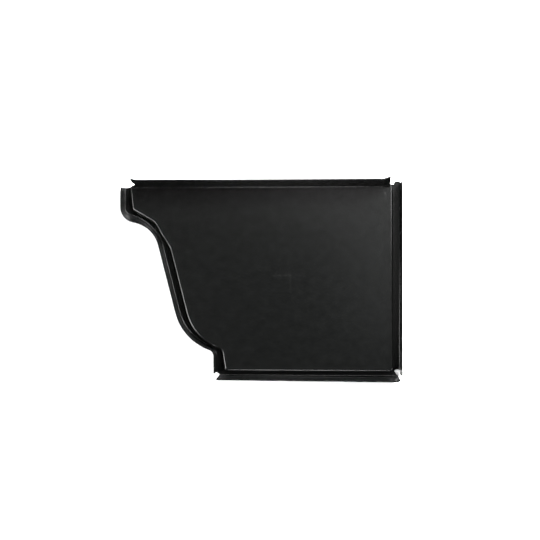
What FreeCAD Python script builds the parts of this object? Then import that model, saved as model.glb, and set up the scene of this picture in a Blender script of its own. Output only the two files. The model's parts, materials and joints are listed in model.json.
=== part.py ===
import FreeCAD, Part

import math
import os
from types import SimpleNamespace

import Sketcher

# Press-formed end cap for a five inch ogee roof gutter, gutter side up.
#
# One flat sheet is drawn into a raised panel with a U channel round three of
# its edges: the ogee front, the floor and the back. The gutter's end drops
# into the channel. The walls outside the channel are crimped over it. Along
# the open top the panel turns straight up into a stiffening flange whose two
# ends flare outwards. The four corners are notched so that the walls can bend.
#
# X runs from the gutter's front to its back, Y from its floor to its open top
# and Z into the gutter. The cap rests on the channel's bottom, at Z = 0, and
# the origin is the middle of its footprint.

NODE = "end_cap"

# Driving dimensions: name, millimetres or degrees, and what it measures.
DIMENSIONS = [
    ("sheet_thickness", 0.6, "the pressed sheet"),
    ("gutter_width", 127.3, "channel centre at the front to channel centre at the back"),
    ("gutter_height", 88.0, "floor line, where the gutter's floor stands, to the top edge"),
    ("ogee_reach", 44.0, "front face to the upright leg above the floor"),
    ("channel_width", 3.8, "clear width of the channel at the front and the back"),
    ("floor_channel_width", 2.35, "clear width of the channel along the floor"),
    ("floor_wall_gap", 1.325, "floor line out to the floor's outer wall"),
    ("wall_height", 8.0, "outer walls over the resting plane"),
    ("floor_wall_splay_front", 6.8, "outward lean of the floor's wall at its front, degrees"),
    ("floor_wall_splay_back", 10.8, "outward lean of the floor's wall at its back, degrees"),
    ("wall_bend", 0.6, "inside radius of the bend at the foot of the outer walls"),
    ("channel_bend", 0.4, "inside radius of the bend at the foot of the panel's side"),
    ("corner_radius", 2.6, "plan radius of the outer walls at the floor's two corners"),
    ("nose_drop", 9.7, "top edge down to the centre of the nose"),
    ("nose_radius_base", 3.9, "nose of the ogee at the channel's bottom"),
    ("nose_radius_rim", 7.4, "nose of the ogee at the wall's rim"),
    ("shoulder_radius_base", 22.5, "hollow under the nose at the channel's bottom"),
    ("shoulder_radius_rim", 14.5, "hollow under the nose at the wall's rim"),
    ("waist_reach_base", 22.4, "front face to the slope at half height, at the bottom"),
    ("waist_reach_rim", 22.1, "front face to the slope at half height, at the rim"),
    ("slope_angle", 14.4, "straight slope from the upright, degrees"),
    ("belly_radius", 25.0, "belly of the ogee under the slope"),
    ("foot_radius_base", 6.0, "turn into the upright leg at the channel's bottom"),
    ("foot_radius_rim", 3.0, "turn into the upright leg at the wall's rim"),
    ("foot_rise_base", 6.8, "floor line up to the centre of that turn, at the bottom"),
    ("foot_rise_rim", 8.4, "floor line up to the centre of that turn, at the rim"),
    ("panel_lift", 3.5, "underside of the panel over the resting plane"),
    ("panel_bend", 0.4, "inside radius of the bend round the panel's edge"),
    ("panel_corner_radius", 1.6, "plan radius of the panel's corners at the floor"),
    ("lip_reach", 3.85, "front face to the panel's straight edge above the nose, at the top"),
    ("brow_reach", 5.55, "front face to the panel's corner at the nose"),
    ("brow_drop", 10.4, "top edge down to that corner"),
    ("brow_radius", 1.2, "plan radius of that corner"),
    ("crest_reach", 15.7, "front face to the panel's corner at the shoulder"),
    ("crest_drop", 16.3, "top edge down to that corner"),
    ("crest_radius", 3.0, "plan radius of that corner"),
    ("loin_reach", 23.45, "front face to the panel's corner where the slope begins"),
    ("loin_drop", 29.1, "top edge down to that corner"),
    ("loin_radius", 6.0, "plan radius of that corner"),
    ("hip_reach", 33.6, "front face to where the panel's slope and belly lines cross"),
    ("hip_rise", 18.7, "floor line up to that crossing"),
    ("hip_radius", 23.0, "belly of the panel's edge"),
    ("heel_reach", 4.05, "upright leg to the panel's corner at the foot"),
    ("heel_rise", 11.2, "floor line up to that corner"),
    ("heel_radius", 4.0, "plan radius of that corner"),
    ("toe_reach", 5.5, "upright leg to the panel's corner at the floor"),
    ("flange_setback", 0.45, "top edge down to the start of the flange's bend"),
    ("flange_bend", 0.3, "inside radius of the flange's bend"),
    ("flange_height", 9.0, "flange over the panel"),
    ("flange_splay_front", 15.4, "outward lean of the flange behind its front ear, degrees"),
    ("flange_splay_back", 16.5, "outward lean of the flange before its back ear, degrees"),
    ("ear_splay_front", 20.4, "outward lean of the flange's front end, degrees"),
    ("ear_splay_back", 22.7, "outward lean of the flange's back end, degrees"),
    ("ear_length", 3.2, "length of each flared end"),
    ("front_ear_inset", 6.9, "front face to the flange's front end at the root"),
    ("front_knee_run", 1.2, "root of that end out to its knee"),
    ("front_knee_rise", 0.9, "root of that end up to its knee"),
    ("front_ear_angle", 10.0, "slant of that end from its knee to its tip, degrees"),
    ("front_ear_overlap", 1.8, "how far the flange runs past its root to be cut to that end"),
    ("back_ear_inset", 5.7, "back face to the flange's back end"),
    ("front_notch_rise", 0.9, "top edge up to the root of the notch at the top of the front"),
    ("front_notch_run", 4.5, "length of that notch's sloping side"),
    ("back_notch_rise", 1.0, "top edge up to the root of the notch at the top of the back"),
    ("back_notch_width", 2.0, "width of that notch's root"),
    ("back_lug_inset", 3.2, "back face to the channel's end lug"),
    ("back_lug_rise", 2.64, "top edge up to the end of the back channel"),
    ("back_step_inset", 1.6, "back face to the step from that end down to the wall's end"),
    ("back_step_run", 1.1, "length of that step towards the back"),
    ("back_wall_top", 2.0, "top edge up to the back wall's upper end"),
    ("foot_notch_reach", 2.2, "upright leg to the root of the notch at the foot"),
    ("foot_notch_drop", 0.7, "floor line down to that root"),
    ("foot_wall_inset", 0.9, "upright leg to where the notch's slope begins"),
    ("foot_wall_rise", 0.2, "floor line up to the lower end of the leg's wall"),
    ("foot_notch_angle", 31.0, "slant of the floor wall's front end, degrees"),
    ("slot_inset", 3.7, "back face to the far side of the notch at the back of the floor"),
    ("slot_rise", 1.4, "floor line up to the springing of that notch's round root"),
    ("slot_width", 2.9, "width of that round root"),
    ("slot_radius", 1.9, "radius of that round root"),
    ("slot_angle", 37.0, "slant of the floor wall's back end, degrees"),
    ("slot_tip_drop", 2.65, "floor line down to where that slant meets the tip's far side"),
    ("slot_tip_angle", 45.0, "slant of the tip's far side, degrees"),
    ("slot_tip_radius", 1.2, "radius that rounds the tip"),
    ("back_wall_drop", 0.6, "floor line down to the back wall's lower end"),
    ("overrun", 6.0, "how far cuts and open edges run past the sheet"),
]

# Expressions that several sketches share, in terms of the sheet's cells.
HALF_WIDTH = "((dims.gutter_width + dims.channel_width) / 2 + dims.sheet_thickness)"
TOP = "(dims.gutter_height / 2)"
BLANK_END = "((dims.gutter_height + dims.overrun) / 2)"
OPEN_END = "(dims.gutter_height / 2 + dims.overrun)"
PANEL_BACK = "((dims.gutter_width - dims.channel_width) / 2 - dims.sheet_thickness)"
WALL_FLOOR = "(dims.gutter_height / 2 + dims.floor_wall_gap + dims.sheet_thickness)"
PANEL_FLOOR = f"({WALL_FLOOR} - dims.floor_channel_width - 2 * dims.sheet_thickness)"
PANEL_TOP = "(dims.panel_lift + dims.sheet_thickness)"
FLANGE_START = "(dims.gutter_height / 2 - dims.flange_setback)"
FLANGE_FRONT = f"({HALF_WIDTH} - dims.front_ear_inset + dims.front_ear_overlap)"
FLANGE_BACK = f"({HALF_WIDTH} - dims.back_ear_inset)"

size = SimpleNamespace(**{name: value for name, value, meaning in DIMENSIONS})
NEAR = 1e-4
SHARP = 0.1


def vector(x, y):
    return FreeCAD.Vector(x, y, 0.0)


def fill_sheet(doc):
    """The driving dimensions, one row each, under the names that expressions use."""
    sheet = doc.addObject("Spreadsheet::Sheet", "dims")
    for row, (name, value, meaning) in enumerate(DIMENSIONS, start=1):
        sheet.set(f"A{row}", str(value))
        sheet.setAlias(f"A{row}", name)
        sheet.set(f"B{row}", meaning)
    return sheet


def origin_plane(body, role):
    for feature in body.Origin.OriginFeatures:
        if feature.Role == role:
            return feature
    raise RuntimeError(f"the body has no {role}")


class Profile:
    """A closed outline drawn from point to point, its sizes bound to the sheet."""

    def __init__(self, body, name, plane="XY_Plane", lift=None):
        self.sketch = body.newObject("Sketcher::SketchObject", name)
        self.sketch.AttachmentSupport = [(origin_plane(body, plane), "")]
        self.sketch.MapMode = "FlatFace"
        if lift:
            self.sketch.setExpression("AttachmentOffset.Base.z", lift)

    def line(self, begin, finish):
        """A straight side: its index and the ends it is entered and left by."""
        index = self.sketch.addGeometry(Part.LineSegment(begin, finish), False)
        return index, 1, 2

    def arc(self, centre, begin, finish, left_turn=True):
        """A round side. Arcs are stored turning left, so a right turn swaps ends."""
        radius = begin.distanceToPoint(centre)
        low, high = (begin, finish) if left_turn else (finish, begin)
        start = math.atan2(low.y - centre.y, low.x - centre.x)
        stop = math.atan2(high.y - centre.y, high.x - centre.x)
        if stop <= start:
            stop += 2.0 * math.pi
        circle = Part.Circle(centre, FreeCAD.Vector(0, 0, 1), radius)
        index = self.sketch.addGeometry(Part.ArcOfCircle(circle, start, stop), False)
        return (index, 1, 2) if left_turn else (index, 2, 1)

    def guide(self, place):
        """A construction point, where two sides would cross if they ran on."""
        return self.sketch.addGeometry(Part.Point(place), True)

    def tie(self, kind, *references):
        self.sketch.addConstraint(Sketcher.Constraint(kind, *references))

    def measure(self, kind, references):
        """What a size reads on the outline as it is drawn."""
        if kind == "Radius":
            return self.sketch.Geometry[references[0]].Radius
        if kind == "Angle":
            side = self.sketch.Geometry[references[0]]
            run = side.EndPoint - side.StartPoint
            return math.atan2(run.y, run.x)
        begin = self.sketch.getPoint(*references[:2])
        finish = self.sketch.getPoint(*references[2:])
        return finish.x - begin.x if kind == "DistanceX" else finish.y - begin.y

    def bind(self, name, expression, kind, *references):
        reading = self.measure(kind, references)
        index = self.sketch.addConstraint(Sketcher.Constraint(kind, *references, reading))
        self.sketch.renameConstraint(index, name)
        self.sketch.setExpression(f"Constraints.{name}", expression)

    def join(self, before, after, kind="Tangent"):
        self.tie(kind, before[0], before[2], after[0], after[1])

    def join_all(self, sides, sharp=()):
        """Closes the outline: smooth everywhere but at the named corners."""
        for number, side in enumerate(sides):
            following = sides[(number + 1) % len(sides)]
            self.join(side, following, "Coincident" if number in sharp else "Tangent")

    def left(self, name, expression, index, end):
        self.bind(name, expression, "DistanceX", index, end, -1, 1)

    def right(self, name, expression, index, end):
        self.bind(name, expression, "DistanceX", -1, 1, index, end)

    def above(self, name, expression, index, end):
        self.bind(name, expression, "DistanceY", -1, 1, index, end)

    def below(self, name, expression, index, end):
        self.bind(name, expression, "DistanceY", index, end, -1, 1)


def half_width():
    return (size.gutter_width + size.channel_width) / 2 + size.sheet_thickness


def wall_floor():
    return size.gutter_height / 2 + size.floor_wall_gap + size.sheet_thickness


def ogee(level, inset):
    """Centres of the front's four arcs, from the sizes at one level, base or rim.

    Every arc touches its neighbours: nose and shoulder turn opposite ways and
    meet, the straight slope leaves the shoulder and enters the belly, and the
    belly meets the turn into the upright leg.
    """
    nose_radius = getattr(size, f"nose_radius_{level}") - inset
    shoulder_radius = getattr(size, f"shoulder_radius_{level}") + inset
    belly_radius = size.belly_radius - inset
    foot_radius = getattr(size, f"foot_radius_{level}") + inset
    foot_rise = getattr(size, f"foot_rise_{level}")
    front = inset - half_width()
    lean = math.radians(size.slope_angle)
    down = vector(math.sin(lean), -math.cos(lean))
    inward = vector(math.cos(lean), math.sin(lean))
    reach = getattr(size, f"waist_reach_{level}")
    waist = vector(reach - half_width() + inset / math.cos(lean), 0.0)

    def slide(start, target, reach, side):
        """The point reach away from target on the line from start along the slope."""
        gap = start - target
        along = gap.dot(down)
        root = math.sqrt(along ** 2 - gap.dot(gap) + reach ** 2)
        return start + down * (-along + side * root)

    nose = vector(front + nose_radius, size.gutter_height / 2 - size.nose_drop)
    shoulder = slide(waist - inward * shoulder_radius, nose, nose_radius + shoulder_radius, 1)
    leg = front + size.ogee_reach
    foot = vector(leg - foot_radius, -size.gutter_height / 2 + foot_rise)
    belly = slide(waist + inward * belly_radius, foot, foot_radius + belly_radius, -1)
    return SimpleNamespace(
        nose=nose,
        shoulder=shoulder,
        belly=belly,
        foot=foot,
        waist=waist,
        leg=leg,
        nose_start=vector(front, nose.y),
        inflection=nose + (shoulder - nose) * (nose_radius / (nose_radius + shoulder_radius)),
        slope_start=shoulder + inward * shoulder_radius,
        slope_end=belly - inward * belly_radius,
        turn=foot + (belly - foot) * (foot_radius / (foot_radius + belly_radius)),
        foot_end=vector(leg, foot.y),
    )


def wall_outline(body, level, face):
    """Outer or inner face of the three outer walls at one level, open at the top."""
    rim = level == "rim"
    inner = face == "inner"
    lift = "dims.wall_height" if rim else "dims.sheet_thickness" if inner else None
    outline = Profile(body, f"wall_{face}_{level}", lift=lift)
    inset = size.sheet_thickness if inner else 0.0
    less = " - dims.sheet_thickness" if inner else ""
    more = " + dims.sheet_thickness" if inner else ""
    key = ogee(level, inset)
    edge = half_width() - inset
    corner = size.corner_radius - inset
    floors = []
    for splay in (size.floor_wall_splay_front, size.floor_wall_splay_back):
        spread = size.wall_height * math.tan(math.radians(splay)) if rim else 0.0
        floors.append(inset - spread - wall_floor())
    floor, back_floor = floors
    end = size.gutter_height / 2 + size.overrun
    sides = [
        outline.line(vector(-edge, end), key.nose_start),
        outline.arc(key.nose, key.nose_start, key.inflection),
        outline.arc(key.shoulder, key.inflection, key.slope_start, left_turn=False),
        outline.line(key.slope_start, key.slope_end),
        outline.arc(key.belly, key.slope_end, key.turn),
        outline.arc(key.foot, key.turn, key.foot_end, left_turn=False),
        outline.line(key.foot_end, vector(key.leg, floor + corner)),
        outline.arc(
            vector(key.leg + corner, floor + corner),
            vector(key.leg, floor + corner),
            vector(key.leg + corner, floor),
        ),
        outline.line(vector(key.leg + corner, floor), vector(edge - corner, back_floor)),
        outline.arc(
            vector(edge - corner, back_floor + corner),
            vector(edge - corner, back_floor),
            vector(edge, back_floor + corner),
        ),
        outline.line(vector(edge, back_floor + corner), vector(edge, end)),
        outline.line(vector(edge, end), vector(-edge, end)),
    ]
    front, nose, shoulder, slope, belly, foot, leg, heel, sole, back_corner, back, top = [
        side[0] for side in sides
    ]
    outline.join_all(sides, sharp=(10, 11))
    for upright in (front, leg, back):
        outline.tie("Vertical", upright)
    outline.tie("Horizontal", top)
    outline.left("front_face", HALF_WIDTH + less, front, 1)
    outline.right("back_face", HALF_WIDTH + less, back, 1)
    outline.above("open_end", OPEN_END, front, 1)
    outline.bind("nose_radius", f"dims.nose_radius_{level}{less}", "Radius", nose)
    outline.above("nose_height", f"{TOP} - dims.nose_drop", nose, 3)
    outline.bind("shoulder_radius", f"dims.shoulder_radius_{level}{more}", "Radius", shoulder)
    outline.bind("slope_angle", "dims.slope_angle * 1 deg - 90 deg", "Angle", slope)
    waist = outline.guide(key.waist)
    outline.tie("PointOnObject", waist, 1, -1)
    outline.tie("PointOnObject", waist, 1, slope)
    aslant = f"{less} / cos(dims.slope_angle * 1 deg)" if inner else ""
    outline.left("waist", f"{HALF_WIDTH} - dims.waist_reach_{level}{aslant}", waist, 1)
    outline.bind("belly_radius", f"dims.belly_radius{less}", "Radius", belly)
    outline.bind("foot_radius", f"dims.foot_radius_{level}{more}", "Radius", foot)
    outline.below("foot_height", f"{TOP} - dims.foot_rise_{level}", foot, 3)
    outline.left("leg_face", f"{HALF_WIDTH} - dims.ogee_reach{less}", leg, 1)
    outline.bind("heel_corner", f"dims.corner_radius{less}", "Radius", heel)
    outline.tie("Equal", heel, back_corner)
    for name, end in (("front", 1), ("back", 2)):
        lean = f"dims.floor_wall_splay_{name} * 1 deg"
        spread = f" + dims.wall_height * tan({lean})" if rim else ""
        outline.below(f"floor_face_{name}", f"{WALL_FLOOR}{spread}{less}", sole, end)
    return outline.sketch


def panel_outline(body):
    """Edge of the recess under the panel: straight sides with rounded corners.

    Above the slope the panel's edge follows the ogee in straight steps.
    """
    outline = Profile(body, "panel_outline")
    front = -half_width()
    leg = front + size.ogee_reach
    top = size.gutter_height / 2
    end = top + size.overrun
    back = (size.gutter_width - size.channel_width) / 2 - size.sheet_thickness
    floor = size.floor_channel_width + size.sheet_thickness * 2 - wall_floor()
    corners = [
        ("lip", vector(front + size.lip_reach, end)),
        ("brow", vector(front + size.brow_reach, top - size.brow_drop)),
        ("crest", vector(front + size.crest_reach, top - size.crest_drop)),
        ("loin", vector(front + size.loin_reach, top - size.loin_drop)),
        ("hip", vector(front + size.hip_reach, size.hip_rise - top)),
        ("heel", vector(leg + size.heel_reach, size.heel_rise - top)),
        ("toe", vector(leg + size.toe_reach, floor)),
        ("back_floor", vector(back, floor)),
        ("back_end", vector(back, end)),
    ]
    radii = {
        "brow": "brow_radius",
        "crest": "crest_radius",
        "loin": "loin_radius",
        "hip": "hip_radius",
        "heel": "heel_radius",
        "toe": "panel_corner_radius",
        "back_floor": "panel_corner_radius",
    }
    sides = []
    rounds = {}
    leave = corners[0][1]
    for number, (name, place) in enumerate(corners[1:], start=1):
        before = (place - corners[number - 1][1]).normalize()
        if name not in radii:
            sides.append(outline.line(leave, place))
            leave = place
            continue
        after = (corners[number + 1][1] - place).normalize()
        radius = getattr(size, radii[name])
        left_turn = before.cross(after).z > 0
        trim = radius * math.tan(before.getAngle(after) / 2)
        begin = place - before * trim
        finish = place + after * trim
        side = 1 if left_turn else -1
        centre = begin + vector(-before.y, before.x) * (radius * side)
        sides.append(outline.line(leave, begin))
        rounds[name] = len(sides)
        sides.append(outline.arc(centre, begin, finish, left_turn))
        leave = finish
    sides.append(outline.line(corners[-1][1], corners[0][1]))
    outline.join_all(sides, sharp=(len(sides) - 2, len(sides) - 1))
    guides = {}
    for name, number in rounds.items():
        guide = outline.guide(dict(corners)[name])
        outline.tie("PointOnObject", guide, 1, sides[number - 1][0])
        outline.tie("PointOnObject", guide, 1, sides[number + 1][0])
        outline.bind(f"{name}_radius", f"dims.{radii[name]}", "Radius", sides[number][0])
        guides[name] = guide
    open_edge = sides[-1][0]
    outline.left("lip_x", f"{HALF_WIDTH} - dims.lip_reach", open_edge, 2)
    outline.above("lip_y", OPEN_END, open_edge, 2)
    outline.right("back_x", PANEL_BACK, open_edge, 1)
    outline.tie("Horizontal", open_edge)
    for name in ("brow", "crest", "loin"):
        outline.left(f"{name}_x", f"{HALF_WIDTH} - dims.{name}_reach", guides[name], 1)
        outline.above(f"{name}_y", f"{TOP} - dims.{name}_drop", guides[name], 1)
    outline.left("hip_x", f"{HALF_WIDTH} - dims.hip_reach", guides["hip"], 1)
    for name in ("heel", "toe"):
        reach = f"{HALF_WIDTH} - dims.ogee_reach - dims.{name}_reach"
        outline.left(f"{name}_x", reach, guides[name], 1)
    for name in ("hip", "heel"):
        outline.below(f"{name}_y", f"{TOP} - dims.{name}_rise", guides[name], 1)
    outline.below("toe_y", PANEL_FLOOR, guides["toe"], 1)
    outline.right("back_floor_x", PANEL_BACK, guides["back_floor"], 1)
    outline.below("back_floor_y", PANEL_FLOOR, guides["back_floor"], 1)
    return outline.sketch


def flange_section(body, name, station, splay):
    """The flange cut across: the bend up from the panel and the leaning blade."""
    section = Profile(body, name, plane="YZ_Plane", lift=station)
    lean = math.radians(getattr(size, splay))
    start = size.gutter_height / 2 - size.flange_setback
    surface = size.panel_lift + size.sheet_thickness
    tip = surface + size.flange_height
    centre = vector(start, surface + size.flange_bend)
    outward = vector(math.cos(lean), -math.sin(lean))
    along = vector(math.sin(lean), math.cos(lean))
    inner_bend_end = centre + outward * size.flange_bend
    inner_tip = inner_bend_end + along * ((tip - inner_bend_end.y) / along.y)
    outer_tip = inner_tip + outward * size.sheet_thickness
    outer_bend_end = inner_bend_end + outward * size.sheet_thickness
    sides = [
        section.line(vector(start, size.panel_lift), vector(start, surface)),
        section.arc(centre, vector(start, surface), inner_bend_end),
        section.line(inner_bend_end, inner_tip),
        section.line(inner_tip, outer_tip),
        section.line(outer_tip, outer_bend_end),
        section.arc(centre, outer_bend_end, vector(start, size.panel_lift), left_turn=False),
    ]
    root, inner_bend, inner_face, rim, outer_face, outer_bend = [side[0] for side in sides]
    section.tie("Vertical", root)
    section.join(sides[0], sides[1], "Coincident")
    section.tie("Vertical", root, 2, inner_bend, 3)
    section.join(sides[1], sides[2])
    section.join(sides[2], sides[3], "Perpendicular")
    section.join(sides[3], sides[4], "Perpendicular")
    section.join(sides[4], sides[5])
    section.join(sides[5], sides[0], "Coincident")
    section.tie("Coincident", inner_bend, 3, outer_bend, 3)
    section.bind("inside_radius", "dims.flange_bend", "Radius", inner_bend)
    section.bind("outside_radius", "dims.flange_bend + dims.sheet_thickness", "Radius", outer_bend)
    section.right("root_y", FLANGE_START, root, 1)
    section.above("root_z", "dims.panel_lift", root, 1)
    section.bind("splay", f"90 deg - dims.{splay} * 1 deg", "Angle", inner_face)
    section.above("tip_z", f"{PANEL_TOP} + dims.flange_height", inner_face, 2)
    return section.sketch


def corner_notches(body):
    """Plan of the four corner cuts, each open to the outside of the sheet."""
    cuts = Profile(body, "corner_notches")
    edge = half_width()
    top = size.gutter_height / 2
    leg = size.ogee_reach - edge
    beyond = edge + size.overrun
    above = top + size.overrun + size.overrun
    below = -top - size.overrun

    def slant(rise, angle):
        return rise * math.tan(math.radians(angle))

    def polygon(corners):
        count = len(corners)
        sides = [cuts.line(corners[i], corners[(i + 1) % count]) for i in range(count)]
        cuts.join_all(sides, sharp=range(count))
        return [side[0] for side in sides]

    root = vector(size.front_ear_inset - edge, top + size.front_notch_rise)
    knee = root + vector(-size.front_knee_run, size.front_knee_rise)
    ramp, under, outside, over, ear, heel = polygon([
        root,
        vector(root.x - size.front_notch_run, top),
        vector(-beyond, top),
        vector(-beyond, above),
        vector(knee.x - slant(above - knee.y, size.front_ear_angle), above),
        knee,
    ])
    for side in (under, over):
        cuts.tie("Horizontal", side)
    cuts.tie("Vertical", outside)
    cuts.left("front_root_x", f"{HALF_WIDTH} - dims.front_ear_inset", ramp, 1)
    cuts.above("front_root_y", f"{TOP} + dims.front_notch_rise", ramp, 1)
    cuts.bind("front_ramp", "dims.front_notch_run", "DistanceX", ramp, 2, ramp, 1)
    cuts.above("front_end_y", TOP, ramp, 2)
    cuts.left("front_beyond", f"{HALF_WIDTH} + dims.overrun", outside, 1)
    cuts.above("front_above", f"{OPEN_END} + dims.overrun", outside, 2)
    cuts.bind("front_ear_slant", "dims.front_ear_angle * 1 deg - 90 deg", "Angle", ear)
    cuts.bind("front_knee_x", "dims.front_knee_run", "DistanceX", heel, 1, heel, 2)
    cuts.bind("front_knee_y", "dims.front_knee_rise", "DistanceY", heel, 2, heel, 1)

    root = vector(edge - size.back_ear_inset, top + size.back_notch_rise)
    lug = vector(edge - size.back_lug_inset, top + size.back_lug_rise)
    step = vector(edge - size.back_step_inset, lug.y)
    wall_end = vector(step.x + size.back_step_run, top + size.back_wall_top)
    bottom, rise, end, drop, wall_top, outside, over, ear = polygon([
        root,
        root + vector(size.back_notch_width, 0),
        lug,
        step,
        wall_end,
        vector(beyond, wall_end.y),
        vector(beyond, above),
        vector(root.x, above),
    ])
    for side in (bottom, end, wall_top, over):
        cuts.tie("Horizontal", side)
    for side in (outside, ear):
        cuts.tie("Vertical", side)
    cuts.right("back_root_x", f"{HALF_WIDTH} - dims.back_ear_inset", bottom, 1)
    cuts.above("back_root_y", f"{TOP} + dims.back_notch_rise", bottom, 1)
    cuts.bind("back_root_width", "dims.back_notch_width", "DistanceX", bottom, 1, bottom, 2)
    cuts.right("back_lug_x", f"{HALF_WIDTH} - dims.back_lug_inset", rise, 2)
    cuts.above("back_lug_y", f"{TOP} + dims.back_lug_rise", rise, 2)
    cuts.right("back_step_x", f"{HALF_WIDTH} - dims.back_step_inset", drop, 1)
    cuts.bind("back_step_width", "dims.back_step_run", "DistanceX", drop, 1, drop, 2)
    cuts.above("back_wall_y", f"{TOP} + dims.back_wall_top", drop, 2)
    cuts.right("back_beyond", f"{HALF_WIDTH} + dims.overrun", outside, 1)
    cuts.above("back_above", f"{OPEN_END} + dims.overrun", outside, 2)

    root = vector(leg + size.foot_notch_reach, -top - size.foot_notch_drop)
    wall_end = vector(leg + size.foot_wall_inset, size.foot_wall_rise - top)
    climb, end, outside, under, ramp = polygon([
        root,
        wall_end,
        vector(-beyond, wall_end.y),
        vector(-beyond, below),
        vector(root.x - slant(root.y - below, size.foot_notch_angle), below),
    ])
    for side in (end, under):
        cuts.tie("Horizontal", side)
    cuts.tie("Vertical", outside)
    leg_face = f"{HALF_WIDTH} - dims.ogee_reach"
    cuts.left("foot_root_x", f"{leg_face} - dims.foot_notch_reach", climb, 1)
    cuts.below("foot_root_y", f"{TOP} + dims.foot_notch_drop", climb, 1)
    cuts.left("foot_wall_x", f"{leg_face} - dims.foot_wall_inset", end, 1)
    cuts.below("foot_wall_y", f"{TOP} - dims.foot_wall_rise", end, 1)
    cuts.left("foot_beyond", f"{HALF_WIDTH} + dims.overrun", outside, 1)
    cuts.below("foot_below", OPEN_END, outside, 2)
    cuts.bind("foot_slant", "90 deg - dims.foot_notch_angle * 1 deg", "Angle", ramp)

    mouth = vector(edge - size.slot_inset, size.slot_rise - top)
    across = mouth + vector(size.slot_width, 0)
    half = size.slot_width / 2
    crown = vector(mouth.x + half, mouth.y - math.sqrt(size.slot_radius ** 2 - half ** 2))
    step = vector(across.x, -size.back_wall_drop - top)
    far_end = vector(beyond, step.y)
    far_corner = vector(beyond, below)
    lean = math.radians(size.slot_angle)
    corner = math.radians(90.0 - size.slot_angle + size.slot_tip_angle)
    up_ramp = vector(-math.sin(lean), math.cos(lean))
    drop = mouth.y + top + size.slot_tip_drop
    tip = mouth - up_ramp * (drop / math.cos(lean))
    low_lean = math.radians(size.slot_tip_angle)
    down_side = vector(-math.cos(low_lean), -math.sin(low_lean))
    trim = size.slot_tip_radius * math.tan((math.pi - corner) / 2)
    ramp_foot = tip + up_ramp * trim
    round_foot = tip + down_side * trim
    inward = vector(-math.cos(lean), -math.sin(lean))
    bottom = tip + down_side * ((tip.y - below) / math.sin(low_lean))
    sides = [
        cuts.arc(crown, mouth, across, left_turn=False),
        cuts.line(across, step),
        cuts.line(step, far_end),
        cuts.line(far_end, far_corner),
        cuts.line(far_corner, bottom),
        cuts.line(bottom, round_foot),
        cuts.arc(ramp_foot + inward * size.slot_tip_radius, round_foot, ramp_foot),
        cuts.line(ramp_foot, mouth),
    ]
    cuts.join_all(sides, sharp=(0, 1, 2, 3, 4, 7))
    crown_arc, wall, end, outside, under, far_side, tip_round, ramp = [side[0] for side in sides]
    cuts.tie("Horizontal", crown_arc, 1, crown_arc, 2)
    for side in (wall, outside):
        cuts.tie("Vertical", side)
    for side in (end, under):
        cuts.tie("Horizontal", side)
    cuts.bind("slot_root_radius", "dims.slot_radius", "Radius", crown_arc)
    cuts.right("slot_mouth_x", f"{HALF_WIDTH} - dims.slot_inset", ramp, 2)
    cuts.below("slot_mouth_y", f"{TOP} - dims.slot_rise", ramp, 2)
    cuts.bind("slot_mouth_width", "dims.slot_width", "DistanceX", ramp, 2, wall, 1)
    cuts.below("back_wall_end", f"{TOP} + dims.back_wall_drop", end, 1)
    cuts.right("slot_beyond", f"{HALF_WIDTH} + dims.overrun", outside, 1)
    cuts.below("slot_below", OPEN_END, outside, 2)
    cuts.bind("slot_slant", "90 deg + dims.slot_angle * 1 deg", "Angle", ramp)
    cuts.bind("slot_tip_slant", "dims.slot_tip_angle * 1 deg", "Angle", far_side)
    cuts.bind("slot_tip_round", "dims.slot_tip_radius", "Radius", tip_round)
    crossing = cuts.guide(tip)
    cuts.tie("PointOnObject", crossing, 1, far_side)
    cuts.tie("PointOnObject", crossing, 1, ramp)
    cuts.below("slot_tip_y", f"{TOP} + dims.slot_tip_drop", crossing, 1)
    return cuts.sketch


def rectangle(body, name, west, east, south, north):
    """Plan rectangle: each side a place and the expression that keeps it there."""
    plan = Profile(body, name)
    corners = [
        vector(west[0], south[0]),
        vector(east[0], south[0]),
        vector(east[0], north[0]),
        vector(west[0], north[0]),
    ]
    sides = [plan.line(corners[i], corners[(i + 1) % 4]) for i in range(4)]
    plan.join_all(sides, sharp=range(4))
    near, right_side, far, left_side = [side[0] for side in sides]
    for side in (near, far):
        plan.tie("Horizontal", side)
    for side in (right_side, left_side):
        plan.tie("Vertical", side)
    plan.left("west", west[1], near, 1)
    plan.right("east", east[1], near, 2)
    plan.above("south", south[1], near, 1)
    plan.above("north", north[1], far, 1)
    return plan.sketch


def open_end_trim(body):
    """What is cut off square along the open top, so that every bend runs out there."""
    side = half_width() + size.overrun
    top = size.gutter_height / 2
    return rectangle(
        body,
        "open_end_trim",
        (-side, f"{HALF_WIDTH} + dims.overrun"),
        (side, f"{HALF_WIDTH} + dims.overrun"),
        ((size.gutter_height + size.overrun) / 2, BLANK_END),
        (top + size.overrun * 2, f"{OPEN_END} + dims.overrun"),
    )


def panel_end_trim(body):
    """What is cut off the panel to make room for the flange's bend."""
    edge = half_width()
    top = size.gutter_height / 2
    return rectangle(
        body,
        "panel_end_trim",
        (size.front_ear_inset - size.front_ear_overlap - edge, FLANGE_FRONT),
        (edge - size.back_ear_inset, FLANGE_BACK),
        (top - size.flange_setback, FLANGE_START),
        (top + size.overrun, OPEN_END),
    )


def is_sharp(shape, edge):
    """Whether the two faces that meet along an edge do so at an angle."""
    middle = edge.valueAt((edge.FirstParameter + edge.LastParameter) / 2)
    faces = shape.ancestorsOfType(edge, Part.Face)
    normals = [face.normalAt(*face.Surface.parameter(middle)) for face in faces]
    return normals[0].cross(normals[1]).Length > SHARP


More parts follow.
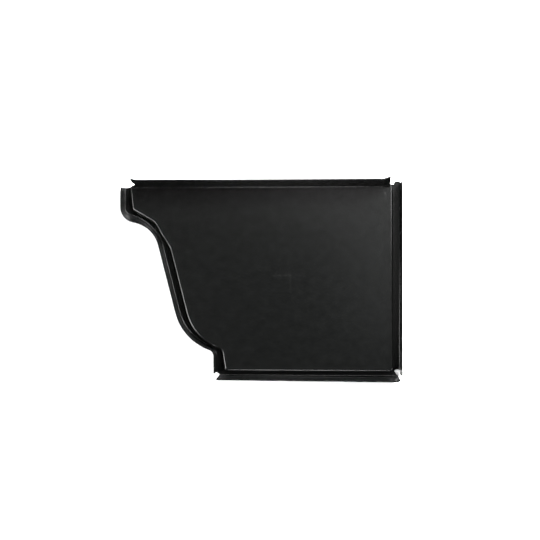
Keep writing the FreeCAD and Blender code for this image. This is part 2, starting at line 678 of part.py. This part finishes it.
def bend(doc, body, name, height, radius):
    """Rounds every sharp edge that lies flat at one height, short of the open end."""
    base = body.Tip
    shape = base.Shape
    limit = (size.gutter_height + size.overrun) / 2
    names = []
    for number, edge in enumerate(shape.Edges, start=1):
        box = edge.BoundBox
        flat = abs(box.ZMin - height) < NEAR and abs(box.ZMax - height) < NEAR
        if flat and box.YMin < limit - NEAR:
            if is_sharp(shape, edge):
                names.append(f"Edge{number}")
    rounding = body.newObject("PartDesign::Fillet", name)
    rounding.Base = (base, names)
    rounding.setExpression("Radius", radius)
    doc.recompute()


def check(doc, body):
    """Stops before anything is written if a feature failed or the solid is unsound."""
    for item in doc.Objects:
        if "Invalid" in item.State or "Error" in item.State:
            raise RuntimeError(f"{item.Name} failed: {item.State}")
    shape = body.Shape
    if shape.isNull() or not shape.isValid() or len(shape.Solids) != 1:
        raise RuntimeError(f"{body.Label} is not one sound solid")


def loft(doc, body, kind, name, sections):
    feature = body.newObject(kind, name)
    feature.Profile = sections[0]
    feature.Sections = sections[1:]
    feature.Ruled = True
    doc.recompute()
    return feature


def pressed_blank(doc, body):
    """The drawn sheet before it is trimmed: walls, channel and raised panel."""
    thickness = size.sheet_thickness
    around = " + dims.sheet_thickness"
    outer = [wall_outline(body, level, "outer") for level in ("base", "rim")]
    loft(doc, body, "PartDesign::AdditiveLoft", "wall_block", outer)
    inner = [wall_outline(body, level, "inner") for level in ("base", "rim")]
    loft(doc, body, "PartDesign::SubtractiveLoft", "wall_hollow", inner)
    bend(doc, body, "wall_outside_bend", 0.0, f"dims.wall_bend{around}")
    bend(doc, body, "wall_inside_bend", thickness, "dims.wall_bend")

    recess_edge = panel_outline(body)
    panel_edge = body.newObject("PartDesign::SubShapeBinder", "panel_edge")
    panel_edge.Support = [(recess_edge, ("",))]
    panel_edge.OffsetJoinType = "Intersection"
    panel_edge.setExpression("Offset", "dims.sheet_thickness")
    doc.recompute()
    panel = body.newObject("PartDesign::Pad", "panel_block")
    panel.Profile = panel_edge
    panel.setExpression("Length", PANEL_TOP)
    doc.recompute()
    bend(doc, body, "panel_foot_bend", thickness, "dims.channel_bend")
    bend(doc, body, "panel_top_bend", size.panel_lift + thickness, f"dims.panel_bend{around}")

    before = body.Shape.Volume
    recess = body.newObject("PartDesign::Pocket", "panel_recess")
    recess.Profile = recess_edge
    recess.Reversed = True
    recess.setExpression("Length", "dims.panel_lift")
    doc.recompute()
    if recess.Shape.Volume >= before:
        raise RuntimeError("the panel's recess cut nothing")
    cut_through(doc, body, "open_end_cut", open_end_trim(body))
    bend(doc, body, "panel_underside_bend", size.panel_lift, "dims.panel_bend")
    bend(doc, body, "recess_mouth_bend", 0.0, f"dims.channel_bend{around}")


def add_flange(doc, body):
    """The stiffening flange, its ends flared into ears."""
    stations = [
        ("flange_front_end", f"-{FLANGE_FRONT}", "ear_splay_front"),
        ("flange_front", f"dims.ear_length - {FLANGE_FRONT}", "flange_splay_front"),
        ("flange_back", f"{FLANGE_BACK} - dims.ear_length", "flange_splay_back"),
        ("flange_back_end", FLANGE_BACK, "ear_splay_back"),
    ]
    sections = [flange_section(body, *station) for station in stations]
    loft(doc, body, "PartDesign::AdditiveLoft", "top_flange", sections)


def cut_through(doc, body, name, outline):
    """A cut from the resting plane up through everything."""
    before = body.Shape.Volume
    cut = body.newObject("PartDesign::Pocket", name)
    cut.Profile = outline
    cut.Type = "ThroughAll"
    cut.Reversed = True
    doc.recompute()
    if cut.Shape.Volume >= before:
        raise RuntimeError(f"{name} cut nothing")
    return cut


def main():
    doc = FreeCAD.newDocument("gutter_end_cap")
    fill_sheet(doc)
    doc.recompute()
    body = doc.addObject("PartDesign::Body", NODE)
    body.Label = NODE
    pressed_blank(doc, body)
    cut_through(doc, body, "panel_end_cut", panel_end_trim(body))
    add_flange(doc, body)
    cut_through(doc, body, "corner_cuts", corner_notches(body))
    box = body.Shape.optimalBoundingBox(False)
    body.Placement.Base = FreeCAD.Vector(-box.Center.x, -box.Center.y, -box.ZMin)
    doc.recompute()
    check(doc, body)
    os.makedirs("parts", exist_ok=True)
    body.Shape.exportStep(f"parts/{NODE}.step")
    box = body.Shape.optimalBoundingBox(False)
    print(f"{NODE}: {box.XLength:.2f} x {box.YLength:.2f} x {box.ZLength:.2f} mm,")
    print(f"  volume {body.Shape.Volume:.1f} mm3, area {body.Shape.Area:.1f} mm2")


main()
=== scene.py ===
import json
import math
from typing import NamedTuple

import bpy
from mathutils import Euler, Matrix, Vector

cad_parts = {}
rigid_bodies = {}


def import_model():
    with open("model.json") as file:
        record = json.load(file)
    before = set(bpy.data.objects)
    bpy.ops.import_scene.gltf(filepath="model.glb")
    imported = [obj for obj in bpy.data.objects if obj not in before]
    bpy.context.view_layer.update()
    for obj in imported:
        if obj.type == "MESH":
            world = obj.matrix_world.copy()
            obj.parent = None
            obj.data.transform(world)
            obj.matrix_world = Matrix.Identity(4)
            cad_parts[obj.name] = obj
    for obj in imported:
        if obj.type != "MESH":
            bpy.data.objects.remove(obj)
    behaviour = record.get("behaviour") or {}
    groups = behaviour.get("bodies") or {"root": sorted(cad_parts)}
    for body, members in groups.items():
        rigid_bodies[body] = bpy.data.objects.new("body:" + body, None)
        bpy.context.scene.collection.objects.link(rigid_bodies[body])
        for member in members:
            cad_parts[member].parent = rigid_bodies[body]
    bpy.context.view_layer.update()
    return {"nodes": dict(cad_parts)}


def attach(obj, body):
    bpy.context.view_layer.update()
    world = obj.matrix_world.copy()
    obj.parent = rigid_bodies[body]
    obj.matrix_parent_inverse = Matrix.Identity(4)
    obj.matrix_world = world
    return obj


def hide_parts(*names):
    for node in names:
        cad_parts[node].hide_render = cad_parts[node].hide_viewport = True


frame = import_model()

bl_info = {
    "name": "Gutter End Cap",
    "version": (1, 0, 0),
    "blender": (4, 5, 0),
    "location": "View3D > Sidebar > End Cap",
    "description": "Finishes a pressed gutter end cap and sets it under soft light",
    "category": "Object",
}

MM = 0.001

# Sheet: corners of its triangles nearer than this are one corner
WELD_DISTANCE = 0.001 * MM

# Paint: its gloss, and the mottle that varies its tone and its satin
PAINT_IOR = 1.5
MOTTLE = {"Scale": 260.0, "Detail": 4.0, "Roughness": 0.6}
MOTTLE_DARKEST = 0.7
MOTTLE_PALEST = 1.3
SATIN_SPREAD = 0.035
SPRING_DETAIL = 1.0
PEEL_DETAIL = 2.0

# Press mark: half the width of the slope round it
MARK_SLOPE = 0.5 * MM

# Painted glint: a lighter patch painted where a tiny dent in the panel's top back corner
# catches light.
# Its colour, its solid core as a share of its reach, and the grain that
# breaks it up, with the grain's heights where it starts and where it is full
GLINT_COLOUR = (0.014, 0.014, 0.014)
GLINT_CORE = 0.2
GLINT_GRAIN = {"Scale": 1400.0, "Detail": 2.0}
GLINT_STARTS = 0.45
GLINT_FULL = 0.65

# Stage: the floor lies a little under the cap's lowest point
FLOOR_DROP = 0.05 * MM
FLOOR_COLOUR = (0.93, 0.93, 0.93, 1.0)
FLOOR_ROUGHNESS = 0.9
FILL_COLOUR = (1.0, 1.0, 1.0, 1.0)
SENSOR_WIDTH = 36.0


class Softbox(NamedTuple):
    """A soft light. It stands on a dome over the cap and is aimed at its middle."""

    name: str
    round_about: float  # degrees from the cap's back, anticlockwise from above
    off_upright: float  # degrees down from straight above
    stretch: float  # its side round the dome, over its side down the dome
    radiance: float  # brightness of its face


SOFTBOXES = (
    Softbox("back_key", 45.0, 62.0, 1.67, 420.0),
    Softbox("back_mid", 45.0, 38.0, 1.155, 62.0),
    Softbox("back_high", 22.5, 38.0, 1.155, 17.0),
    Softbox("open_side", 90.0, 38.0, 1.155, 25.0),
    Softbox("open_top", 90.0, 26.0, 1.1, 11.0),
    Softbox("front_low", 202.5, 50.0, 1.44, 27.0),
    Softbox("front", 180.0, 50.0, 1.44, 18.6),
    Softbox("front_high", 202.5, 38.0, 1.155, 17.0),
    Softbox("floor_side", 270.0, 50.0, 1.44, 27.0),
    Softbox("overhead_top", 60.0, 13.0, 1.126, 0.36),
    Softbox("overhead_back", 0.0, 13.0, 1.126, 0.36),
)


# Sizes and colours that a user would change


class SheetSettings(bpy.types.PropertyGroup):
    """The pressed sheet: how its cut edges and bends are finished."""

    edge_round: bpy.props.FloatProperty(
        name="Edge round",
        description="Width of the rounded corner that paint leaves along every cut edge",
        default=0.07 * MM,
        unit="LENGTH",
    )
    cut_angle: bpy.props.FloatProperty(
        name="Cut angle",
        description="Faces that meet at more than this meet at a cut edge",
        default=math.radians(58.0),
        subtype="ANGLE",
    )
    smooth_angle: bpy.props.FloatProperty(
        name="Smooth angle",
        description="Faces that meet at less than this are shaded as one surface",
        default=math.radians(32.0),
        subtype="ANGLE",
    )


class PaintSettings(bpy.types.PropertyGroup):
    """The paint, its press mark, and the glint painted on it."""

    colour: bpy.props.FloatVectorProperty(
        name="Colour",
        description="Body colour of the paint",
        default=(0.0011, 0.00124, 0.00118),
        subtype="COLOR",
    )
    roughness: bpy.props.FloatProperty(
        name="Roughness",
        description="Satin of the paint, before its unevenness",
        default=0.215,
        min=0.0,
        max=1.0,
    )
    peel_size: bpy.props.FloatProperty(
        name="Peel size",
        description="Length of one ripple of the paint's fine orange peel",
        default=0.9 * MM,
        unit="LENGTH",
    )
    peel_depth: bpy.props.FloatProperty(
        name="Peel depth",
        description="Depth of that ripple",
        default=0.0008 * MM,
        unit="LENGTH",
    )
    spring_size: bpy.props.FloatProperty(
        name="Spring size",
        description="Length of one shallow wave left in the flats by the press",
        default=38.0 * MM,
        unit="LENGTH",
    )
    spring_depth: bpy.props.FloatProperty(
        name="Spring depth",
        description="Depth of that wave",
        default=0.05 * MM,
        unit="LENGTH",
    )
    mark_place: bpy.props.FloatVectorProperty(
        name="Mark place",
        description="Middle of the faint square press mark on the panel",
        default=(9.6 * MM, -2.3 * MM, 4.1 * MM),
        subtype="XYZ",
    )
    mark_width: bpy.props.FloatProperty(
        name="Mark width",
        description="Side of that mark",
        default=8.4 * MM,
        unit="LENGTH",
    )
    mark_depth: bpy.props.FloatProperty(
        name="Mark depth",
        description="How far that mark stands up",
        default=0.045 * MM,
        unit="LENGTH",
    )
    # The next four settings place a painted highlight: a lighter patch painted where a
    # tiny dent in the panel's corner catches light.
    glint_place: bpy.props.FloatVectorProperty(
        name="Scuff place",
        description="Middle of the small scuff in the panel's top back corner",
        default=(58.2 * MM, 40.2 * MM, 4.1 * MM),
        subtype="XYZ",
    )
    glint_length: bpy.props.FloatProperty(
        name="Scuff length",
        description="Along that scuff",
        default=2.6 * MM,
        unit="LENGTH",
    )
    glint_width: bpy.props.FloatProperty(
        name="Scuff width",
        description="Across that scuff",
        default=1.0 * MM,
        unit="LENGTH",
    )
    glint_turn: bpy.props.FloatProperty(
        name="Scuff turn",
        description="Lean of that scuff from the panel's long side",
        default=math.radians(-58.0),
        subtype="ANGLE",
    )


class StageSettings(bpy.types.PropertyGroup):
    """Floor, lights and camera."""

    floor_width: bpy.props.FloatProperty(
        name="Floor width",
        description="Side of the square floor",
        default=6.0,
        unit="LENGTH",
    )
    lens: bpy.props.FloatProperty(
        name="Lens",
        description="Focal length of the camera on a 36 mm frame",
        default=70.86,
        unit="CAMERA",
    )
    camera_turn: bpy.props.FloatProperty(
        name="Camera turn",
        description="Lean of the camera's line of sight from straight down",
        default=math.radians(3.0),
        subtype="ANGLE",
    )
    camera_distance: bpy.props.FloatProperty(
        name="Camera distance",
        description="From the camera to the panel's surface",
        default=0.5,
        unit="LENGTH",
    )
    aim: bpy.props.FloatVectorProperty(
        name="Aim",
        description="Where the camera's line of sight meets the panel's surface",
        default=(4.23 * MM, 4.44 * MM, 4.1 * MM),
        subtype="XYZ",
    )
    fill: bpy.props.FloatProperty(
        name="Fill",
        description="Strength of the even light from all round",
        default=0.004,
        min=0.0,
    )
    light_distance: bpy.props.FloatProperty(
        name="Light distance",
        description="From the middle of the footprint to each softbox",
        default=0.45,
        unit="LENGTH",
    )
    light_span: bpy.props.FloatProperty(
        name="Light span",
        description="Angle that a softbox's side down the dome fills, seen from the cap",
        default=math.radians(12.0),
        subtype="ANGLE",
    )


# Small helpers


def deselect_all():
    for thing in bpy.context.scene.objects:
        thing.select_set(False)


def make_active(piece):
    deselect_all()
    piece.select_set(True)
    bpy.context.view_layer.objects.active = piece


def apply_modifier(piece, kind, **settings):
    make_active(piece)
    modifier = piece.modifiers.new(kind.title(), kind)
    for name, value in settings.items():
        setattr(modifier, name, value)
    bpy.ops.object.modifier_apply(modifier=modifier.name)


def feed(tree, socket, value):
    """Links another node's output to a socket, or sets the socket's own value."""
    if isinstance(value, bpy.types.NodeSocket):
        tree.links.new(value, socket)
    else:
        socket.default_value = value


def new_node(tree, kind, **inputs):
    """A node with its inputs fed by name, a space written as an underscore."""
    node = tree.nodes.new(kind)
    for name, value in inputs.items():
        feed(tree, node.inputs[name.replace("_", " ")], value)
    return node


def work_out(tree, kind, operation, *values):
    """A Math or Vector Math node with its inputs fed in order."""
    node = tree.nodes.new(kind)
    node.operation = operation
    for socket, value in zip(node.inputs, values):
        feed(tree, socket, value)
    return node


# The paint


def paint_material(settings):
    """Satin black paint on pressed sheet, with its peel, waves, a press mark and a
    painted glint.
    """
    material = bpy.data.materials.new("satin_black_paint")
    material.use_nodes = True
    tree = material.node_tree
    tree.nodes.clear()
    output = tree.nodes.new("ShaderNodeOutputMaterial")
    shader = new_node(tree, "ShaderNodeBsdfPrincipled", IOR=PAINT_IOR)
    tree.links.new(shader.outputs["BSDF"], output.inputs["Surface"])
    place = tree.nodes.new("ShaderNodeTexCoord").outputs["Object"]

    mottle = new_node(tree, "ShaderNodeTexNoise", Vector=place, **MOTTLE)
    tone = mix_colour(
        tree,
        mottle.outputs["Fac"],
        [channel * MOTTLE_DARKEST for channel in settings.colour],
        [channel * MOTTLE_PALEST for channel in settings.colour],
    )
    # A lighter patch painted into the colour stands in for the glint of a tiny dent: a
    # painted highlight.
    glinted = mix_colour(tree, painted_glint_mask(tree, place, settings), tone, GLINT_COLOUR)
    feed(tree, shader.inputs["Base Color"], glinted)

    satin = new_node(
        tree,
        "ShaderNodeMapRange",
        Value=mottle.outputs["Fac"],
        To_Min=settings.roughness - SATIN_SPREAD,
        To_Max=settings.roughness + SATIN_SPREAD,
    )
    feed(tree, shader.inputs["Roughness"], satin.outputs["Result"])

    normal = None
    for height, depth in (
        (waves(tree, place, settings.spring_size, SPRING_DETAIL), settings.spring_depth),
        (press_mark(tree, place, settings), settings.mark_depth),
        (waves(tree, place, settings.peel_size, PEEL_DETAIL), settings.peel_depth),
    ):
        bump = new_node(
            tree, "ShaderNodeBump", Strength=1.0, Distance=depth, Height=height
        )
        if normal:
            feed(tree, bump.inputs["Normal"], normal)
        normal = bump.outputs["Normal"]
    feed(tree, shader.inputs["Normal"], normal)
    return material


def waves(tree, place, size, detail):
    """Height of uneven waves of about one length."""
    noise = new_node(
        tree, "ShaderNodeTexNoise", Vector=place, Scale=1.0 / size, Detail=detail
    )
    return noise.outputs["Fac"]


def mix_colour(tree, factor, first, second):
    """Blends two colours, each given as numbers or as another node's output."""
    mix = tree.nodes.new("ShaderNodeMix")
    mix.data_type = "RGBA"
    feed(tree, mix.inputs["Factor"], factor)
    for name, colour in (("A", first), ("B", second)):
        if not isinstance(colour, bpy.types.NodeSocket):
            colour = (*colour, 1.0)
        feed(tree, mix.inputs[name], colour)
    return mix.outputs["Result"]


def fade(tree, value, near, far, to_near, to_far):
    """A soft step from one value to another between two distances."""
    step = new_node(
        tree,
        "ShaderNodeMapRange",
        Value=value,
        From_Min=near,
        From_Max=far,
        To_Min=to_near,
        To_Max=to_far,
    )
    step.interpolation_type = "SMOOTHSTEP"
    return step.outputs["Result"]


def press_mark(tree, place, settings):
    """Height of the faint raised square in the middle of the panel."""
    offset = work_out(
        tree, "ShaderNodeVectorMath", "SUBTRACT", place, settings.mark_place
    )
    size = work_out(
        tree, "ShaderNodeVectorMath", "ABSOLUTE", offset.outputs["Vector"]
    )
    sides = new_node(tree, "ShaderNodeSeparateXYZ", Vector=size.outputs["Vector"])
    furthest = work_out(
        tree, "ShaderNodeMath", "MAXIMUM", sides.outputs["X"], sides.outputs["Y"]
    )
    half = settings.mark_width / 2.0
    return fade(
        tree, furthest.outputs["Value"], half - MARK_SLOPE, half + MARK_SLOPE, 1.0, 0.0
    )


def painted_glint_mask(tree, place, settings):
    """Where the small slanting painted glint is, broken up by grain."""
    long_half = settings.glint_length / 2.0
    short_half = settings.glint_width / 2.0
    along = new_node(
        tree,
        "ShaderNodeMapping",
        Vector=place,
        Location=settings.glint_place,
        Rotation=(0.0, 0.0, settings.glint_turn),
        Scale=(long_half, short_half, long_half),
    )
    along.vector_type = "TEXTURE"
    reach = work_out(
        tree, "ShaderNodeVectorMath", "LENGTH", along.outputs["Vector"]
    )
    spot = fade(tree, reach.outputs["Value"], GLINT_CORE, 1.0, 1.0, 0.0)
    grain = new_node(tree, "ShaderNodeTexNoise", Vector=place, **GLINT_GRAIN)
    grained = fade(tree, grain.outputs["Fac"], GLINT_STARTS, GLINT_FULL, 0.0, 1.0)
    both = work_out(tree, "ShaderNodeMath", "MULTIPLY", spot, grained)
    return both.outputs["Value"]


# Operators


class SheetOperator(bpy.types.Operator):
    """Finish the pressed sheet: rounded cut edges, even bends and satin paint"""

    bl_idname = "endcap.press_sheet"
    bl_label = "Press the sheet"

    def execute(self, context):
        settings = context.scene.endcap_sheet
        source = frame["nodes"]["end_cap"]
        piece = bpy.data.objects.new("pressed_sheet", source.data.copy())
        context.scene.collection.objects.link(piece)
        piece.data.materials.clear()
        make_active(piece)
        bpy.ops.mesh.customdata_custom_splitnormals_clear()
        bpy.ops.object.mode_set(mode="EDIT")
        bpy.ops.mesh.select_all(action="SELECT")
        bpy.ops.mesh.remove_doubles(threshold=WELD_DISTANCE)
        bpy.ops.object.mode_set(mode="OBJECT")
        apply_modifier(
            piece,
            "BEVEL",
            width=settings.edge_round,
            segments=2,
            limit_method="ANGLE",
            angle_limit=settings.cut_angle,
            use_clamp_overlap=False,
            miter_outer="MITER_ARC",
        )
        make_active(piece)
        bpy.ops.object.shade_smooth_by_angle(angle=settings.smooth_angle)
        # The flats keep their own normal and the bends take up all the turning
        apply_modifier(piece, "WEIGHTED_NORMAL", weight=50, keep_sharp=True)
        piece.data.materials.append(paint_material(context.scene.endcap_paint))
        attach(piece, "root")
        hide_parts("end_cap")
        return {"FINISHED"}


class StageOperator(bpy.types.Operator):
    """Lay out the floor, the soft lights and the camera above the cap"""

    bl_idname = "endcap.lay_stage"
    bl_label = "Lay out the stage"

    def execute(self, context):
        settings = context.scene.endcap_stage
        self.floor(context, settings)
        self.fill(context, settings)
        for box in SOFTBOXES:
            self.softbox(context, settings, box)
        self.camera(context, settings)
        context.scene.view_settings.view_transform = "Standard"
        return {"FINISHED"}

    def floor(self, context, settings):
        deselect_all()
        bpy.ops.mesh.primitive_plane_add(
            size=settings.floor_width, location=(0.0, 0.0, -FLOOR_DROP)
        )
        floor = context.object
        floor.name = "floor"
        material = bpy.data.materials.new("pale_floor")
        material.use_nodes = True
        shader = material.node_tree.nodes["Principled BSDF"]
        shader.inputs["Base Color"].default_value = FLOOR_COLOUR
        shader.inputs["Roughness"].default_value = FLOOR_ROUGHNESS
        floor.data.materials.append(material)

    def fill(self, context, settings):
        world = bpy.data.worlds.new("studio")
        world.use_nodes = True
        context.scene.world = world
        background = world.node_tree.nodes["Background"]
        background.inputs["Color"].default_value = FILL_COLOUR
        background.inputs["Strength"].default_value = settings.fill

    def softbox(self, context, settings, box):
        data = bpy.data.lights.new(box.name, "AREA")
        data.shape = "RECTANGLE"
        data.size = 2.0 * settings.light_distance * math.tan(settings.light_span / 2.0)
        data.size_y = data.size * box.stretch
        data.energy = box.radiance * math.pi * data.size * data.size_y
        lamp = bpy.data.objects.new(box.name, data)
        turn = Euler(
            (0.0, math.radians(box.off_upright), math.radians(box.round_about))
        )
        lamp.rotation_euler = turn
        lamp.location = turn.to_matrix() @ Vector((0.0, 0.0, settings.light_distance))
        lamp.visible_camera = False
        context.scene.collection.objects.link(lamp)

    def camera(self, context, settings):
        data = bpy.data.cameras.new("camera")
        data.lens = settings.lens
        data.sensor_width = SENSOR_WIDTH
        camera = bpy.data.objects.new("camera", data)
        turn = settings.camera_turn
        reach = Vector((math.sin(turn), 0.0, math.cos(turn))) * settings.camera_distance
        camera.location = Vector(settings.aim) + reach
        camera.rotation_euler = (0.0, turn, 0.0)
        context.scene.collection.objects.link(camera)
        context.scene.camera = camera


class EndCapPanel(bpy.types.Panel):
    """Lists the steps in the 3D view's sidebar"""

    bl_idname = "ENDCAP_PT_steps"
    bl_label = "End Cap"
    bl_space_type = "VIEW_3D"
    bl_region_type = "UI"
    bl_category = "End Cap"

    def draw(self, context):
        for step in STEPS:
            self.layout.operator(step.bl_idname)


STEPS = (SheetOperator, StageOperator)
SETTINGS = (SheetSettings, PaintSettings, StageSettings)
CLASSES = (*SETTINGS, *STEPS, EndCapPanel)


def register():
    for cls in CLASSES:
        bpy.utils.register_class(cls)
    bpy.types.Scene.endcap_sheet = bpy.props.PointerProperty(type=SheetSettings)
    bpy.types.Scene.endcap_paint = bpy.props.PointerProperty(type=PaintSettings)
    bpy.types.Scene.endcap_stage = bpy.props.PointerProperty(type=StageSettings)


def unregister():
    del bpy.types.Scene.endcap_stage
    del bpy.types.Scene.endcap_paint
    del bpy.types.Scene.endcap_sheet
    for cls in reversed(CLASSES):
        bpy.utils.unregister_class(cls)


def main():
    register()
    bpy.ops.endcap.press_sheet()
    bpy.ops.endcap.lay_stage()


if __name__ == "__main__":
    main()
